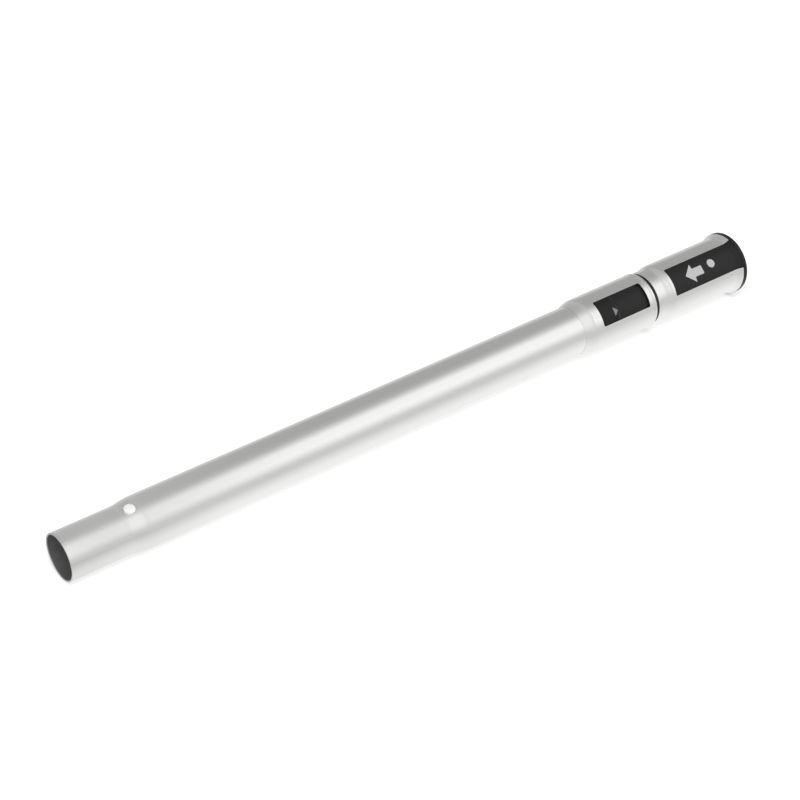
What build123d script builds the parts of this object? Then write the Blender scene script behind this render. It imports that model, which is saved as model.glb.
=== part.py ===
"""Telescopic vacuum cleaner tube, pushed together and lying on its side.

Millimetres. The tube's axis is X, the origin is the centre of the plug end, and Z is up.
Every piece is drawn with its working side up, then turned about X to the angle where it lies.
"""

import os

from build123d import *

# Where the working sides face as the tube lies: degrees from straight up, towards -Y
KEY_ROLL = 42.0
BUTTON_ROLL = 14.0

# Outer tube, drawn steel with a necked plug end
TUBE_RADIUS = 17.5
TUBE_WALL = 0.8
NECK_RADIUS = 15.95
NECK_LENGTH = 43.5
SHOULDER_LENGTH = 9.0
SHOULDER_BEND = 9.0
RIM_BORE = 14.9
RIM_LENGTH = 1.2
ADJUSTER_START = 402.5  # the front edge of the adjuster's sleeve
TUBE_INTO_ADJUSTER = 21.5

# Inner tube
INNER_RADIUS = 15.9
INNER_WALL = 0.7
INNER_SET_BACK = 31.5  # from the shoulder to the inner tube's near end
INNER_INTO_SOCKET = 29.0
GROOVE_RADIUS = 2.5
GROOVE_DEPTH = 0.9
GROOVE_SET_BACK = 16.0

# Adjuster sleeve, a plated moulding round the end of the outer tube
SLEEVE_RADIUS = 20.0
SLEEVE_WALL = 1.0
SLEEVE_LENGTH = 64.5
SLEEVE_CONE = 8.0
SLEEVE_EDGE = 0.4  # the thinned front edge
BEAD_HEIGHT = 0.3
BEAD_LENGTH = 3.0
WINDOW_INSET = 15.5
WINDOW_MARGIN = 6.0
WINDOW_HALF_ANGLE = 28.0
WINDOW_CORNER = 1.2

# Guide body, the moulding that the inner tube runs in
FLANGE_LENGTH = 2.5
POCKET_FLOOR = 18.0
SLOT_FLOOR = 16.8
WIPER_INSET = 4.9
WIPER_LENGTH = 2.2
WIPER_RADIUS = 17.4

# Release key, brake shoe and their spring
KEY_TRAVEL = 5.0
KEY_SKIRT = 2.0
KEY_SKIRT_ANGLE = 3.0
RIDGE_INSET = 12.5
RIDGE_LENGTH = 7.0
RIDGE_HEIGHT = 1.2
RIDGE_HALF_ANGLE = 24.0
SHOE_INSET = 14.0
SHOE_LENGTH = 16.0
SHOE_HALF_ANGLE = 15.0
SHOE_SLOPE = 0.06
SHOE_HIGH_END = 17.9
LINING_THICKNESS = 0.5
SPRING_WIRE = 0.4
SPRING_DIAMETER = 1.5
SPRING_TURNS = 4

# Socket on the inner tube's far end
SOCKET_GAP = 0.5
SOCKET_LENGTH = 83.5
SOCKET_BORE = 16.1
SOCKET_DEPTH = 50.5
SOCKET_LEAD_IN = 0.9
SOCKET_NECK_RADIUS = 19.2
SOCKET_NECK_LENGTH = 8.0
SOCKET_CONE = 5.5
SOCKET_RADIUS = 20.6
SOCKET_WALL = 1.0
PANEL_START = 15.5  # from the socket's near end to the cut-out
PANEL_HALF_ANGLE = 30.0
PANEL_CORNER = 1.2
COLLAR_LENGTH = 5.5
COLLAR_RADIUS = 22.7
COLLAR_CONE = 1.6
COLLAR_ROUND = 1.2
BLEND_LENGTH = 4.0

# Pieces on the inner tube's near end
GUIDE_LENGTH = 12.0
SEAL_LENGTH = 7.0
SEAL_THICKNESS = 0.35

# Snap button and its leaf spring, in the plug end's shoulder
BUTTON_SET_BACK = 4.4  # from the neck's end to the button's axis
BUTTON_RADIUS = 3.75
BUTTON_TOP = 18.5
BUTTON_DOME = 1.5
BUTTON_FOOT_RADIUS = 4.7
BUTTON_FOOT = 0.8
BUTTON_FOOT_TOP = 14.1
LEAF_THICKNESS = 0.5
LEAF_WIDTH = 7.0
LEAF_START = 8.0
LEAF_PAD = 8.0
LEAF_OVERHANG = 5.8

# Clearances
RUNNING = 0.1  # between pieces that slide on each other
SEATED = 0.05  # between pieces that stay put
BRAKE_GAP = 0.05
END_PLAY = 0.3

# Stations worked out from the sizes above
BUTTON_STATION = NECK_LENGTH + BUTTON_SET_BACK
LEAF_END = BUTTON_STATION + LEAF_OVERHANG
INNER_START = NECK_LENGTH + SHOULDER_LENGTH + INNER_SET_BACK
GROOVE_START = INNER_START + GROOVE_SET_BACK
WINDOW_START = ADJUSTER_START + WINDOW_INSET
WINDOW_LENGTH = SLEEVE_LENGTH - WINDOW_INSET - WINDOW_MARGIN
SHOE_START = WINDOW_START + SHOE_INSET
RIDGE_CENTRE = WINDOW_START + RIDGE_INSET
TUBE_END = ADJUSTER_START + TUBE_INTO_ADJUSTER
SLEEVE_END = ADJUSTER_START + SLEEVE_LENGTH
BODY_START = ADJUSTER_START + SLEEVE_CONE + SLEEVE_WALL
BODY_END = SLEEVE_END + FLANGE_LENGTH
WIPER_START = BODY_END - WIPER_INSET
BODY_RADIUS = SLEEVE_RADIUS - SLEEVE_WALL - SEATED
WINDOW_END = WINDOW_START + WINDOW_LENGTH
SOCKET_START = BODY_END + SOCKET_GAP
SOCKET_END = SOCKET_START + SOCKET_LENGTH
COLLAR_START = SOCKET_END - COLLAR_LENGTH
SHOE_END = SHOE_START + SHOE_LENGTH
KEY_START = WINDOW_START + END_PLAY
KEY_END = WINDOW_END - KEY_TRAVEL - END_PLAY
SKIRT_START = KEY_START - KEY_SKIRT
SKIRT_END = KEY_END + KEY_SKIRT
POCKET_START = SKIRT_START - END_PLAY
POCKET_END = SKIRT_END + KEY_TRAVEL + END_PLAY
KEY_FLOOR = POCKET_FLOOR + RUNNING
SPRING_START = SHOE_END + SEATED
SPRING_END = KEY_END - END_PLAY - SEATED
SPRING_LEVEL = SLOT_FLOOR + SPRING_DIAMETER / 2 + SPRING_WIRE / 2 + SEATED
TUBE_BORE = TUBE_RADIUS - TUBE_WALL
GROOVE_CENTRE = INNER_RADIUS - GROOVE_DEPTH + GROOVE_RADIUS


def turned(outline):
    """A solid of revolution about X from a closed outline of (station, radius) points."""
    points = [(station, 0, radius) for station, radius in outline]
    return revolve(make_face(Polyline(*points, close=True)), Axis.X)


def ring(start, end, inside, outside):
    """A plain round tube."""
    return turned([(start, inside), (end, inside), (end, outside), (start, outside)])


def shell(stations, wall):
    """A thin round shell whose outside passes through (station, radius)."""
    inside = [(x, r - wall) for x, r in reversed(stations)]
    return turned(stations + inside)


def sector(start, end, inside, outside, half_angle, corner=0.0):
    """The part of a ring within half_angle of straight up, with rounded corners in plan."""
    points = [(start, 0, inside), (end, 0, inside), (end, 0, outside), (start, 0, outside)]
    flat = make_face(Polyline(*points, close=True))
    block = Rot(X=-half_angle) * revolve(flat, Axis.X, revolution_arc=2 * half_angle)
    if corner:
        straight = block.edges().filter_by(GeomType.LINE)
        upright = [edge for edge in straight if abs(edge.tangent_at(0.5).X) < 0.5]
        block = fillet(upright, corner)
    return block


def below_ramp(level):
    """Everything under the brake's sloping plane, which stands at this level at the shoe's high end."""
    reach = 60.0
    ramp = Plane(origin=(SHOE_START, 0, level), x_dir=(1, 0, -SHOE_SLOPE), z_dir=(SHOE_SLOPE, 0, 1))
    return ramp * Pos(0, 0, -reach / 2) * Box(2 * reach, reach, reach)


def grooved_round(start, end, radius, dent):
    """A round bar along X with the guide groove's hollow taken out of it, opposite the key."""
    bar = turned([(start, 0), (end, 0), (end, radius), (start, radius)])
    length = end - start
    hollow = Pos((start + end) / 2, 0, -GROOVE_CENTRE) * Rot(Y=90) * Cylinder(dent, length + 2)
    return bar - hollow


def make_outer_tube():
    stations = [
        (0, NECK_RADIUS),
        (NECK_LENGTH, NECK_RADIUS),
        (NECK_LENGTH + SHOULDER_LENGTH, TUBE_RADIUS),
        (TUBE_END, TUBE_RADIUS),
    ]
    outside = [(x, 0, r) for x, r in stations]
    inside = [(x, 0, r - TUBE_WALL) for x, r in reversed(stations)]
    edges = [
        FilletPolyline(*outside, radius=SHOULDER_BEND),
        Line(outside[-1], inside[0]),
        Polyline(*inside),
        Line(inside[-1], outside[0]),
    ]
    tube = revolve(make_face(edges), Axis.X)
    tube += ring(0, RIM_LENGTH, RIM_BORE, NECK_RADIUS - TUBE_WALL / 2)
    hole_radius = BUTTON_RADIUS + RUNNING
    hole = Pos(BUTTON_STATION, 0, TUBE_RADIUS) * Cylinder(hole_radius, TUBE_RADIUS)
    return tube - Rot(X=BUTTON_ROLL) * hole


def make_adjuster_sleeve():
    foot = TUBE_RADIUS + RUNNING
    bead = SLEEVE_RADIUS + BEAD_HEIGHT
    stations = [
        (ADJUSTER_START, foot + SLEEVE_EDGE),
        (ADJUSTER_START + SLEEVE_CONE, SLEEVE_RADIUS),
        (SLEEVE_END - BEAD_LENGTH, SLEEVE_RADIUS),
        (SLEEVE_END - BEAD_LENGTH / 2, bead),
        (SLEEVE_END, SLEEVE_RADIUS),
    ]
    inside = SLEEVE_RADIUS - SLEEVE_WALL
    stations += [
        (SLEEVE_END, inside),
        (ADJUSTER_START + SLEEVE_CONE, inside),
        (ADJUSTER_START, foot),
    ]
    sleeve = turned(stations)
    window = sector(
        WINDOW_START, WINDOW_END, TUBE_RADIUS, SLEEVE_RADIUS + 1, WINDOW_HALF_ANGLE, WINDOW_CORNER
    )
    return Rot(X=KEY_ROLL) * (sleeve - window)


def make_guide_body():
    bore = INNER_RADIUS + RUNNING
    body = ring(BODY_START, BODY_END, INNER_RADIUS / 2, BODY_RADIUS)
    body -= ring(BODY_START - 1, TUBE_END + SEATED, 0, TUBE_RADIUS + SEATED)
    body -= grooved_round(BODY_START - 1, BODY_END + 1, bore, GROOVE_RADIUS - RUNNING)
    body -= ring(WIPER_START - SEATED, WIPER_START + WIPER_LENGTH + SEATED, bore - 1, WIPER_RADIUS + SEATED)
    pocket_angle = WINDOW_HALF_ANGLE + KEY_SKIRT_ANGLE + 0.5
    body -= sector(POCKET_START, POCKET_END, POCKET_FLOOR, SLEEVE_RADIUS, pocket_angle)
    slot_angle = SHOE_HALF_ANGLE + 0.5
    slot_end = SHOE_END + KEY_TRAVEL + END_PLAY
    body -= sector(SHOE_START - END_PLAY, slot_end, SLOT_FLOOR, SLEEVE_RADIUS, slot_angle)
    body -= sector(SHOE_START - END_PLAY, SHOE_END + END_PLAY, bore - 1, SLEEVE_RADIUS, slot_angle)
    trough_width = SPRING_DIAMETER + SPRING_WIRE + 2 * RUNNING
    trough_length = SPRING_END + SEATED - SHOE_END
    trough = Box(trough_length, trough_width, SLEEVE_RADIUS, align=(Align.MIN, Align.CENTER, Align.MIN))
    body -= Pos(SHOE_END, 0, SLOT_FLOOR) * trough
    return Rot(X=KEY_ROLL) * body


def make_release_key():
    top = sector(KEY_START, KEY_END, KEY_FLOOR, SLEEVE_RADIUS, WINDOW_HALF_ANGLE - 0.6, WINDOW_CORNER)
    skirt_roof = BODY_RADIUS - RUNNING
    skirt = sector(SKIRT_START, SKIRT_END, KEY_FLOOR, skirt_roof, WINDOW_HALF_ANGLE + KEY_SKIRT_ANGLE)
    wedge = sector(SHOE_START, SHOE_END, SLOT_FLOOR + RUNNING, KEY_FLOOR + 0.2, SHOE_HALF_ANGLE)
    wedge -= below_ramp(SHOE_HIGH_END + RUNNING)
    half = RIDGE_LENGTH / 2
    ridge_start = (RIDGE_CENTRE - half, 0, SLEEVE_RADIUS - 0.1)
    ridge_top = (RIDGE_CENTRE, 0, SLEEVE_RADIUS + RIDGE_HEIGHT)
    ridge_end = (RIDGE_CENTRE + half, 0, SLEEVE_RADIUS - 0.1)
    ridge_face = make_face([ThreePointArc(ridge_start, ridge_top, ridge_end), Line(ridge_end, ridge_start)])
    ridge = Rot(X=-RIDGE_HALF_ANGLE) * revolve(ridge_face, Axis.X, revolution_arc=2 * RIDGE_HALF_ANGLE)
    key = top + skirt + wedge + ridge
    reach = SHOE_START - KEY_TRAVEL - END_PLAY
    key -= sector(reach, SHOE_END, INNER_RADIUS, SLEEVE_RADIUS, SHOE_HALF_ANGLE + 0.4) & below_ramp(
        SHOE_HIGH_END + RUNNING
    )
    spring_width = SPRING_DIAMETER + SPRING_WIRE + 2 * RUNNING
    channel_length = SPRING_END + SEATED - SHOE_END
    channel = Box(channel_length, spring_width, spring_width, align=(Align.MIN, Align.CENTER, Align.MAX))
    roof = SPRING_LEVEL + spring_width / 2
    key -= Pos(SHOE_END, 0, roof) * channel
    return Rot(X=KEY_ROLL) * key


def make_shoe_and_lining():
    face = INNER_RADIUS + BRAKE_GAP
    seam = face + LINING_THICKNESS
    lining = sector(SHOE_START, SHOE_END, face, seam, SHOE_HALF_ANGLE)
    shoe = sector(SHOE_START, SHOE_END, seam, SLEEVE_RADIUS, SHOE_HALF_ANGLE) & below_ramp(SHOE_HIGH_END)
    return Rot(X=KEY_ROLL) * shoe, Rot(X=KEY_ROLL) * lining


def make_key_spring():
    length = SPRING_END - SPRING_START - SPRING_WIRE
    pitch = length / SPRING_TURNS
    path = Helix(pitch, length, SPRING_DIAMETER / 2)
    section = Plane(path @ 0, z_dir=path % 0) * Rectangle(SPRING_WIRE, SPRING_WIRE)
    coil = sweep(section, path)
    place = Pos(SPRING_START + SPRING_WIRE / 2, 0, SPRING_LEVEL) * Rot(Y=90)
    return Rot(X=KEY_ROLL) * place * coil


def make_inner_tube():
    end = SOCKET_START + INNER_INTO_SOCKET
    dent = GROOVE_RADIUS + INNER_WALL
    tube = ring(INNER_START, end, 0, INNER_RADIUS)
    tube -= grooved_round(GROOVE_START, end + 1, INNER_RADIUS - INNER_WALL, dent)
    tube -= ring(INNER_START - 1, GROOVE_START, 0, INNER_RADIUS - INNER_WALL)
    groove_length = end - GROOVE_START
    groove = Cylinder(GROOVE_RADIUS, groove_length, align=(Align.CENTER, Align.CENTER, Align.MIN))
    tube -= Pos(GROOVE_START + INNER_WALL, 0, -GROOVE_CENTRE) * Rot(Y=90) * groove
    return Rot(X=KEY_ROLL) * tube


def make_wiper_ring():
    lip = INNER_RADIUS + SEATED
    wiper = ring(WIPER_START, WIPER_START + WIPER_LENGTH, INNER_RADIUS / 2, WIPER_RADIUS)
    wiper -= grooved_round(WIPER_START - 1, WIPER_START + WIPER_LENGTH + 1, lip, GROOVE_RADIUS - RUNNING)
    return Rot(X=KEY_ROLL) * wiper


def make_rear_guide():
    start = INNER_START + SEAL_LENGTH
    return ring(start, start + GUIDE_LENGTH, INNER_RADIUS + SEATED, TUBE_BORE - RUNNING)


def make_lip_seal():
    hold = INNER_RADIUS + SEATED
    start = INNER_START
    lip = TUBE_BORE - RUNNING
    end = INNER_START + SEAL_LENGTH - SEATED
    outline = [
        (start, hold),
        (end, hold),
        (end, hold + SEAL_THICKNESS),
        (start, lip),
    ]
    return turned(outline)


def socket_outside(offset):
    """The outside of the socket's sleeve from its near end to the collar, moved in by offset."""
    cone_start = SOCKET_START + SOCKET_NECK_LENGTH
    return [
        (SOCKET_START, SOCKET_NECK_RADIUS - offset),
        (cone_start, SOCKET_NECK_RADIUS - offset),
        (cone_start + SOCKET_CONE, SOCKET_RADIUS - offset),
        (COLLAR_START, SOCKET_RADIUS - offset),
    ]


def make_socket_sleeve():
    sleeve = shell(socket_outside(0), SOCKET_WALL)
    cut = sector(
        SOCKET_START + PANEL_START,
        COLLAR_START + 2 * PANEL_CORNER,
        TUBE_RADIUS,
        SOCKET_RADIUS + 1,
        PANEL_HALF_ANGLE,
        PANEL_CORNER,
    )
    return Rot(X=KEY_ROLL) * (sleeve - cut)


def make_socket_body():
    tube_hold = INNER_RADIUS + SEATED
    tube_end = SOCKET_START + INNER_INTO_SOCKET + SEATED
    mouth = SOCKET_END - SOCKET_DEPTH
    outline = socket_outside(SOCKET_WALL + SEATED)[:-1]
    outline += [
        (COLLAR_START + SEATED, SOCKET_RADIUS - SOCKET_WALL - SEATED),
        (COLLAR_START + SEATED, SOCKET_RADIUS),
        (COLLAR_START + COLLAR_CONE, COLLAR_RADIUS),
        (SOCKET_END - COLLAR_ROUND, COLLAR_RADIUS),
        (SOCKET_END, COLLAR_RADIUS - COLLAR_ROUND),
        (SOCKET_END, SOCKET_BORE + SOCKET_LEAD_IN),
        (SOCKET_END - SOCKET_LEAD_IN, SOCKET_BORE),
        (mouth, SOCKET_BORE),
        (mouth, INNER_RADIUS - INNER_WALL),
        (tube_end, INNER_RADIUS - INNER_WALL),
        (tube_end, tube_hold),
        (SOCKET_START, tube_hold),
    ]
    body = turned(outline)
    panel = sector(
        SOCKET_START + PANEL_START + SEATED,
        COLLAR_START + 2 * PANEL_CORNER,
        SOCKET_RADIUS - 2 * SOCKET_WALL,
        SOCKET_RADIUS,
        PANEL_HALF_ANGLE - 0.2,
        PANEL_CORNER,
    )
    blend_start = (COLLAR_START - BLEND_LENGTH, 0, SOCKET_RADIUS)
    blend_end = (COLLAR_START + COLLAR_CONE, 0, COLLAR_RADIUS - COLLAR_ROUND / 4)
    blend_root = (COLLAR_START + COLLAR_CONE, 0, SOCKET_RADIUS - SOCKET_WALL)
    blend_foot = (COLLAR_START - BLEND_LENGTH, 0, SOCKET_RADIUS - SOCKET_WALL)
    edges = [
        TangentArc(blend_start, blend_end, tangent=(1, 0, 0)),
        Line(blend_end, blend_root),
        Line(blend_root, blend_foot),
        Line(blend_foot, blend_start),
    ]
    sweep_angle = PANEL_HALF_ANGLE - 0.2
    blend = Rot(X=-sweep_angle) * revolve(make_face(edges), Axis.X, revolution_arc=2 * sweep_angle)
    return Rot(X=KEY_ROLL) * (body + panel + blend)


def make_snap_button():
    height = BUTTON_TOP - BUTTON_FOOT_TOP
    stem = Cylinder(BUTTON_RADIUS, height, align=(Align.CENTER, Align.CENTER, Align.MIN))
    stem = chamfer(stem.edges().group_by(Axis.Z)[-1], BUTTON_DOME / 2, BUTTON_DOME)
    foot = Cylinder(BUTTON_FOOT_RADIUS, BUTTON_FOOT, align=(Align.CENTER, Align.CENTER, Align.MAX))
    return Rot(X=BUTTON_ROLL) * Pos(BUTTON_STATION, 0, BUTTON_FOOT_TOP) * (stem + foot)


def make_snap_spring():
    """A flat leaf, spot-welded to the neck's wall by its pad, that carries the button at its free end."""
    low = BUTTON_FOOT_TOP - BUTTON_FOOT - SEATED
    neck_bore = NECK_RADIUS - TUBE_WALL
    high = (neck_bore**2 - (LEAF_WIDTH / 2) ** 2) ** 0.5 - SEATED
    pad_end = LEAF_START + LEAF_PAD
    flat_start = BUTTON_STATION - BUTTON_FOOT_RADIUS
    top = [(LEAF_START, high), (pad_end, high), (flat_start, low), (LEAF_END, low)]
    under = [(x, z - LEAF_THICKNESS) for x, z in reversed(top)]
    outline = Polyline(*[(x, 0, z) for x, z in top + under], close=True)
    strip = extrude(make_face(outline), amount=LEAF_WIDTH / 2, dir=(0, 1, 0), both=True)
    return Rot(X=BUTTON_ROLL) * strip


def main():
    shoe, lining = make_shoe_and_lining()
    pieces = {
        "outer_tube": make_outer_tube(),
        "adjuster_sleeve": make_adjuster_sleeve(),
        "guide_body": make_guide_body(),
        "release_key": make_release_key(),
        "brake_shoe": shoe,
        "brake_lining": lining,
        "key_spring": make_key_spring(),
        "inner_tube": make_inner_tube(),
        "wiper_ring": make_wiper_ring(),
        "rear_guide": make_rear_guide(),
        "lip_seal": make_lip_seal(),
        "socket_sleeve": make_socket_sleeve(),
        "socket_body": make_socket_body(),
        "snap_button": make_snap_button(),
        "snap_spring": make_snap_spring(),
    }
    os.makedirs("parts", exist_ok=True)
    for name, shape in pieces.items():
        export_step(shape, f"parts/{name}.step")


main()
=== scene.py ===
"""Looks for a telescopic vacuum cleaner tube, laid round its CAD frame."""

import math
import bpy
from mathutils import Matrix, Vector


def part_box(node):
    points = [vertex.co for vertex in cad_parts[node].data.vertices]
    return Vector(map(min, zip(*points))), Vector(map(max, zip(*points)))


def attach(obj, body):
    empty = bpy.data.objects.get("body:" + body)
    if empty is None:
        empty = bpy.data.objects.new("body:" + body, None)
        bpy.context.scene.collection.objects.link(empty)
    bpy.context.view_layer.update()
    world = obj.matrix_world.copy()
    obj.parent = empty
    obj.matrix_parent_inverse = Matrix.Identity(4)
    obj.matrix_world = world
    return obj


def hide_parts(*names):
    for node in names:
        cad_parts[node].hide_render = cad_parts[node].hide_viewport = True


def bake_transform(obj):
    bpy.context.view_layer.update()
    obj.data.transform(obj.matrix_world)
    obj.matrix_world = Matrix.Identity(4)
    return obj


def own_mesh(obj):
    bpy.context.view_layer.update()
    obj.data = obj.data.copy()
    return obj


bl_info = {
    "name": "Telescopic tube looks",
    "version": (1, 0, 0),
    "blender": (4, 5, 0),
    "location": "View3D > Sidebar > Tube",
    "description": "Polished tubes, plated sleeves, black key and socket, on a white studio floor",
    "category": "Object",
}

import bmesh
import bpy
from mathutils import Matrix, Vector

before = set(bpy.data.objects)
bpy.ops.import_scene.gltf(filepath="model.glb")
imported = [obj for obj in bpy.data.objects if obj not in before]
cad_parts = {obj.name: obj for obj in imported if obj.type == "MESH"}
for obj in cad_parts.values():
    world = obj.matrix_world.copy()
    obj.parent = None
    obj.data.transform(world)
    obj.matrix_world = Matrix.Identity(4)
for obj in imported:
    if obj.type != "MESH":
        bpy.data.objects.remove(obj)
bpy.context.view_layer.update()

MM = 0.001

# Fineness of the turned meshes
SEGMENTS = 192
WINDOW_SEGMENTS = 24
CORNER_STEPS = 6

# Stations along the tube are rounded to so many decimals of a metre, so that neighbouring rows meet
STATION_DIGITS = 7

# Distances in metres below which two places touch, or are the same
CLOSE = 1e-7
SAME = 1e-9

# Sizes that the shown pieces take over from the solids
CLEARANCE = 0.05 * MM
CONE_LENGTH = 8 * MM
SOCKET_SLOPE = 5.5 * MM
COLLAR_WIDTH = 5.5 * MM
WINDOW_SET_BACK = 15.5 * MM
WINDOW_CORNER = 1.2 * MM
KEY_WINDOW_HALF = math.radians(28)
SOCKET_WINDOW_HALF = math.radians(30)
BUTTON_STEM = 3.75 * MM
BUTTON_PLAY = 0.1 * MM


class TubeSizes(bpy.types.PropertyGroup):
    """Sizes of the tube's shown pieces."""

    key_roll: bpy.props.FloatProperty(
        name="Key roll", description="Turn of the key side from straight up, towards the viewer",
        default=math.radians(42.0), subtype="ANGLE",
    )
    button_roll: bpy.props.FloatProperty(
        name="Button roll", description="Turn of the snap button from straight up, towards the viewer",
        default=math.radians(14.0), subtype="ANGLE",
    )
    tube_radius: bpy.props.FloatProperty(
        name="Tube radius", description="Outside of the outer tube",
        default=17.5 * MM, unit="LENGTH",
    )
    tube_wall: bpy.props.FloatProperty(
        name="Tube wall", description="Sheet thickness of the outer tube",
        default=0.8 * MM, unit="LENGTH",
    )
    neck_radius: bpy.props.FloatProperty(
        name="Neck radius", description="Outside of the plug end",
        default=15.95 * MM, unit="LENGTH",
    )
    neck_length: bpy.props.FloatProperty(
        name="Neck length", description="From the mouth to the shoulder",
        default=43.5 * MM, unit="LENGTH",
    )
    shoulder_length: bpy.props.FloatProperty(
        name="Shoulder length", description="Slope between neck and tube",
        default=9.0 * MM, unit="LENGTH",
    )
    button_set_back: bpy.props.FloatProperty(
        name="Button set-back", description="From the neck's end to the snap button",
        default=4.4 * MM, unit="LENGTH",
    )
    rim_bore: bpy.props.FloatProperty(
        name="Rim bore", description="Inside of the rolled rim",
        default=14.9 * MM, unit="LENGTH",
    )
    inner_radius: bpy.props.FloatProperty(
        name="Inner tube radius", description="Outside of the inner tube",
        default=15.9 * MM, unit="LENGTH",
    )
    inner_wall: bpy.props.FloatProperty(
        name="Inner tube wall", description="Sheet thickness of the inner tube",
        default=0.7 * MM, unit="LENGTH",
    )
    groove_depth: bpy.props.FloatProperty(
        name="Groove depth", description="Depth of the inner tube's guide groove",
        default=0.9 * MM, unit="LENGTH",
    )
    groove_radius: bpy.props.FloatProperty(
        name="Groove radius", description="Round of the guide groove",
        default=2.5 * MM, unit="LENGTH",
    )
    sleeve_radius: bpy.props.FloatProperty(
        name="Adjuster radius", description="Outside of the adjuster's sleeve",
        default=20.0 * MM, unit="LENGTH",
    )
    sleeve_wall: bpy.props.FloatProperty(
        name="Sleeve wall", description="Wall of both plated sleeves",
        default=1.0 * MM, unit="LENGTH",
    )
    socket_radius: bpy.props.FloatProperty(
        name="Socket radius", description="Outside of the socket's sleeve",
        default=20.6 * MM, unit="LENGTH",
    )
    socket_neck: bpy.props.FloatProperty(
        name="Socket neck", description="Outside of the socket's near end",
        default=19.2 * MM, unit="LENGTH",
    )
    socket_bore: bpy.props.FloatProperty(
        name="Socket bore", description="Inside of the socket",
        default=16.1 * MM, unit="LENGTH",
    )
    collar_radius: bpy.props.FloatProperty(
        name="Collar radius", description="Outside of the black collar",
        default=22.7 * MM, unit="LENGTH",
    )


class TubeColours(bpy.types.PropertyGroup):
    """Colours of the tube's finishes."""

    steel: bpy.props.FloatVectorProperty(
        name="Polished steel", description="Tint of the tubes", size=3, subtype="COLOR",
        default=(0.886, 0.888, 0.875), min=0.0, max=1.0,
    )
    plating: bpy.props.FloatVectorProperty(
        name="Plating", description="Tint of the plated sleeves", size=3, subtype="COLOR",
        default=(0.87, 0.872, 0.858), min=0.0, max=1.0,
    )
    black: bpy.props.FloatVectorProperty(
        name="Black plastic", description="Key, socket and guide", size=3, subtype="COLOR",
        default=(0.009, 0.0093, 0.0096), min=0.0, max=1.0,
    )
    button: bpy.props.FloatVectorProperty(
        name="Button", description="Snap button", size=3, subtype="COLOR",
        default=(0.86, 0.86, 0.85), min=0.0, max=1.0,
    )
    mark: bpy.props.FloatVectorProperty(
        name="Print", description="Printed marks on the socket", size=3, subtype="COLOR",
        default=(0.5, 0.5, 0.5), min=0.0, max=1.0,
    )


def sizes():
    """The sizes that the user can change."""
    return bpy.context.scene.tube_sizes


def colours():
    """The colours that the user can change."""
    return bpy.context.scene.tube_colours


def button_station():
    """Where the snap button's axis meets the tube's."""
    return sizes().neck_length + sizes().button_set_back


def around(x, radius, angle):
    """A point on the tube: angle is from straight up, towards the viewer."""
    return Vector((x, -radius * math.sin(angle), radius * math.cos(angle)))


def spread(start, end, count):
    """Evenly spaced values from start to end, both included."""
    return [start + (end - start) * i / count for i in range(count + 1)]


def sides(outline):
    """The pairs of neighbouring points of a closed outline."""
    return zip(outline, outline[1:] + outline[:1])


def rounded(corners):
    """A closed outline of (station, radius) from corners of (station, radius, bend).

    A bend is the radius of the corner's arc, which takes up less than half of the sides next to it.
    """
    most_of_side = 0.49
    outline = []
    for index, (x, r, bend) in enumerate(corners):
        here = Vector((x, r))
        if bend == 0.0:
            outline.append(tuple(here))
            continue
        before = Vector(corners[index - 1][:2]) - here
        after = Vector(corners[(index + 1) % len(corners)][:2]) - here
        turn = math.pi - before.angle(after)
        shorter = min(before.length, after.length)
        reach = min(bend * math.tan(turn / 2), most_of_side * shorter)
        start = here + before.normalized() * reach
        end = here + after.normalized() * reach
        radius = reach / math.tan(turn / 2)
        middle = (before.normalized() + after.normalized()).normalized()
        centre = here + middle * (radius / math.cos(turn / 2))
        first = start - centre
        swing = first.angle_signed(end - centre)
        for step in range(CORNER_STEPS + 1):
            turned = first.copy()
            turned.rotate(Matrix.Rotation(-swing * step / CORNER_STEPS, 2))
            outline.append(tuple(centre + turned))
    return outline


def with_stations(outline, stations):
    """The closed outline with a point added wherever a long run passes one of the stations."""
    result = []
    for (x, r), (next_x, next_r) in sides(outline):
        result.append((x, r))
        if abs(next_x - x) < SAME:
            continue
        low, high = min(x, next_x) + CLOSE, max(x, next_x) - CLOSE
        between = [station for station in stations if low < station < high]
        for station in sorted(between, reverse=next_x < x):
            share = (station - x) / (next_x - x)
            result.append((station, r + (next_r - r) * share))
    return result


def wall_at(outline, x, pick):
    """The radius of the outline's outer wall (pick max) or inner wall (pick min) at a station."""
    hits = []
    for (x0, r0), (x1, r1) in sides(outline):
        if x0 != x1 and min(x0, x1) <= x <= max(x0, x1):
            hits.append(r0 + (r1 - r0) * (x - x0) / (x1 - x0))
    return pick(hits)


def grid(bm, rows, closed):
    """Faces between rows of points that all have the same count."""
    lines = [[bm.verts.new(p) for p in row] for row in rows]
    for first, second in zip(lines, lines[1:]):
        count = len(first)
        last = count if closed else count - 1
        for j in range(last):
            k = (j + 1) % count
            bm.faces.new((first[j], first[k], second[k], second[j]))


def strip(bm, ends, roll, angles):
    """Faces between two points of an outline, both turned through the same angles."""
    grid(bm, [[around(x, r, roll + a) for a in angles] for x, r in ends], False)


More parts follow.
